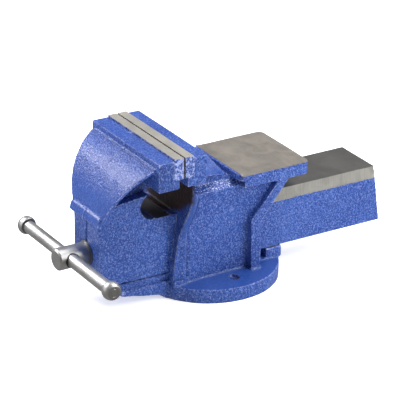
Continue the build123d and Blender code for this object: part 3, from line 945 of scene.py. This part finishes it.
def jaw_enamel():
    """Finish of the moving jaw."""
    finish = Finish("jaw_enamel")
    x, y, z = finish.axes(finish.place)
    nx, _, nz = finish.axes(finish.facing)
    ragged = (finish.noise(95.0, 4.0, 0.65) - 0.5) * 0.0040
    top = inside(z, slide_top - 0.0002, slide_top + 0.0002, 0.0001) * inside(y, slot_y, 0.3)
    band = (z + ragged).ease(slide_top - band_h - 0.0002, slide_top - band_h + 0.0002)
    band = band * inside(y, -0.060, 0.3) * inside(z, 0, slide_top + 0.0002)
    # the slot floor under the jaw is browned: grease, with painted shade in the recess
    slot = inside(z, slide_top + 0.0001, slide_top + 2 * slot_r - 0.0006) * inside(y, -0.107, -0.060, 0.001)
    slot = slot * inside(abs(x), -1, slide_half - 0.0008)
    wear = edges(finish, 0.55, 0.60) * finish.noise(60.0, 3.0, 0.6).ease(0.50, 0.66) * 0.25
    top_colour, rough, marks = milled(finish, "Y", bare_grey, 0.14)
    side_colour = milled(finish, "Z", bare_light, 0.22)[0]
    metal = (finish.mix(nz.ease(0.5, 0.8), side_colour, top_colour), rough, marks)
    # the shell's lower part gets smoother paint and a darker tone: painted shade
    smooth = inside(z, 0.10, 0.145, 0.01) * (1 - y.ease(-0.153, -0.140)) * 0.6
    # painted shade: the end of the jaw block is darkened
    block_end = inside(y, -0.108, -0.078) * inside(z, slide_top + 0.030, 0.2) * abs(nx).ease(0.6, 0.9)
    return hammered(
        finish,
        metal,
        smooth_and_shade_mask=smooth,
        metal_mask=either(top, band),
        grease_and_shade_mask=slot * 0.45,
        wear_mask=wear,
        shade_mask=block_end * 0.25,
    )


def plate_steel(name, towards):
    """Finish of a jaw plate: bare on top and on the face, painted elsewhere, oil in the serrations, laid
    darker as painted shade along the closed jaw line.
    """
    finish = Finish(name)
    y = finish.axes(finish.place)[1]
    _, ny, nz = finish.axes(finish.facing)
    bare = either(nz.ease(0.6, 0.8), (ny * towards).ease(0.1, 0.3))
    # painted shade along the closed jaw line, laid as dark oil on the serrated faces
    oil_and_shade = (y * towards).ease(towards * jaw_line_y - 0.0013, towards * jaw_line_y - 0.0008)
    return hammered(finish, milled(finish, "X", plate_bare, 0.10), metal_mask=bare, grease_and_shade_mask=oil_and_shade * 0.9)


def turned_steel(name, along, flat_end=None, hole_y=None):
    """Bright turned or drawn steel with fine marks round it; flat ends are painted darker as painted shade,
    and a cross hole's mouth is darker.
    """
    finish = Finish(name)
    x, y, z = finish.axes(finish.place)
    stretch = {"X": (0.05, 1.0, 1.0), "Y": (1.0, 0.05, 1.0), "Z": (1.0, 1.0, 0.05)}[along]
    streak = finish.noise(1400.0, 3.0, 0.65, finish.scaled(finish.place, stretch))
    cloud = finish.noise(55.0, 4.0, 0.6)
    tone = (streak * 0.5 + cloud * 0.5).ease(0.30, 0.72)
    colour = finish.mix(tone, steel_dark, steel_bright)
    if flat_end:
        # painted shade: flat ends are darker
        colour = finish.mix(abs(x).ease(flat_end - 0.0003, flat_end), colour, steel_end_shade)
    if hole_y:
        # darker round the mouth of the cross hole
        across = (y - hole_y) * (y - hole_y) + (z - screw_axis_z) * (z - screw_axis_z)
        mouth = 1 - across.ease((bar_r + 0.0007) ** 2, (bar_r + 0.0014) ** 2)
        colour = finish.mix(mouth, colour, grease_and_shade_brown)
    return finish.shader(
        base_color=colour,
        metallic=1.0,
        roughness=0.38 + 0.16 * cloud,
        normal=finish.bump(streak, 0.00012, 0.5),
    )


def plain_steel(name, dark, light, rough, metallic=1.0):
    """A small steel or iron piece with a mottled, slightly worn surface."""
    finish = Finish(name)
    cloud = finish.noise(160.0, 4.0, 0.6)
    fine = finish.noise(1500.0, 2.0, 0.6)
    wear = edges(finish, 0.52, 0.60)
    colour = finish.mix((cloud * 0.7 + fine * 0.3).ease(0.3, 0.7), dark, light)
    colour = finish.mix(wear * 0.6, colour, tuple(min(1.0, c * 1.5 + 0.05) for c in light))
    return finish.shader(
        base_color=colour,
        metallic=metallic,
        roughness=rough + 0.15 * cloud,
        normal=finish.bump(fine * 0.5 + cloud * 0.5, 0.0002, 0.5),
    )


def finish_hidden_nodes():
    """Finishes for the CAD nodes that stay as they are."""
    zinc = plain_steel("zinc_plate", (0.42, 0.43, 0.42), (0.62, 0.63, 0.62), 0.28)
    black = plain_steel("black_oxide", (0.020, 0.020, 0.022), (0.05, 0.05, 0.055), 0.38)
    spring = plain_steel("oiled_spring", (0.12, 0.12, 0.125), (0.26, 0.26, 0.27), 0.25)
    iron = plain_steel("oiled_iron", (0.09, 0.085, 0.08), (0.20, 0.19, 0.18), 0.50)
    steel = plain_steel("washer_steel", (0.10, 0.10, 0.10), (0.22, 0.22, 0.21), 0.35)
    coats = {
        "zinc_steel": zinc,
        "black_steel": black,
        "spring_steel": spring,
        "nut_iron": iron,
        "bright_steel": steel,
    }
    for part in record["subparts"]:
        node = frame["nodes"][part["node"]]
        coat = coats.get(part["material_slot"])
        if coat is not None and not node.hide_render:
            node.data.materials.clear()
            node.data.materials.append(coat)


# ---------------------------------------------------------------- studio
def floor():
    """A pale floor under everything."""
    bm = bmesh.new()
    bmesh.ops.create_grid(bm, x_segments=2, y_segments=2, size=6.0)
    made = new_object("studio_floor", bm)
    finish = Finish("floor_paper")
    grain = finish.noise(3.0, 2.0, 0.5)
    made.data.materials.append(
        finish.shader(
            base_color=finish.mix(grain, (0.90, 0.90, 0.90), (0.92, 0.92, 0.92)),
            roughness=0.9,
            emission_color=(1.0, 1.0, 1.0, 1.0),
            emission_strength=0.55,
        )
    )
    made.visible_glossy = False


def softbox(name, azimuth, elevation, distance, size, power, colour=(1.0, 1.0, 1.0), aim=(0.0, 0.0, 0.08)):
    """A rectangular area light that looks at the vise."""
    lamp = bpy.data.lights.new(name, "AREA")
    lamp.shape = "RECTANGLE"
    lamp.size, lamp.size_y = size
    lamp.energy = power
    lamp.color = colour
    made = bpy.data.objects.new(name, lamp)
    bpy.context.scene.collection.objects.link(made)
    back = outwards(azimuth, elevation)
    made.location = Vector(aim) + back * distance
    made.rotation_mode = "QUATERNION"
    made.rotation_quaternion = (-back).to_track_quat("-Z", "Y")


def outwards(azimuth, elevation):
    """Unit vector from the vise towards an azimuth and elevation in degrees; azimuth 0 is -Y, 90 is +X."""
    a, e = math.radians(azimuth), math.radians(elevation)
    return Vector((math.sin(a) * math.cos(e), -math.cos(a) * math.cos(e), math.sin(e)))


def studio_light():
    """A dim surround and softboxes."""
    world = bpy.data.worlds.new("studio")
    bpy.context.scene.world = world
    surround = Finish("studio", world)
    z = surround.axes(surround.place)[2]
    stops = [
        (0.0, (0.80, 0.80, 0.79)),
        (0.46, (0.66, 0.66, 0.66)),
        (0.52, (0.34, 0.35, 0.37)),
        (1.0, (0.56, 0.58, 0.62)),
    ]
    sky = surround.node("ShaderNodeValToRGB", {"stops": stops}, {"Fac": z * 0.5 + 0.5})
    glow = surround.node("ShaderNodeBackground", {}, {"Color": sky, "Strength": 0.50})
    surround.surface(glow)
    softbox("key", 126, 30, 0.90, (0.42, 0.42), 6.0)
    softbox("shell_light", -60, 36, 0.80, (0.36, 0.40), 8.0, (0.95, 0.93, 1.0), (0.060, -0.14, 0.14))
    softbox("top_light", 174, 62, 1.3, (1.0, 0.9), 19)
    softbox("front_fill", -22, 14, 1.9, (0.7, 0.9), 4.5)


def camera():
    """A long lens on the vise's right, looking down a little."""
    lens = bpy.data.cameras.new("camera")
    lens.lens = 229.5
    lens.sensor_width = 36.0
    lens.clip_end = 50.0
    made = bpy.data.objects.new("camera", lens)
    bpy.context.scene.collection.objects.link(made)
    aim = Vector((-0.0071, -0.0063, 0.0893))
    back = outwards(58.94, 23.99)
    made.location = aim + back * 2.893
    made.rotation_mode = "QUATERNION"
    level = (-back).to_track_quat("-Z", "Y")
    made.rotation_quaternion = level @ Matrix.Rotation(math.radians(0.30), 4, "Z").to_quaternion()
    bpy.context.scene.camera = made


fixed_body()
moving_jaw()
serrated_plate("fixed_jaw_plate_serrated", "fixed_jaw_plate", -1)
serrated_plate("moving_jaw_plate_serrated", "moving_jaw_plate", 1)
lead_screw()
handle_bar()
handle_knob(-1, "handle_knob_left")
handle_knob(1, "handle_knob_right")
finish_hidden_nodes()
floor()
studio_light()
camera()
bpy.context.scene.view_settings.view_transform = "Standard"
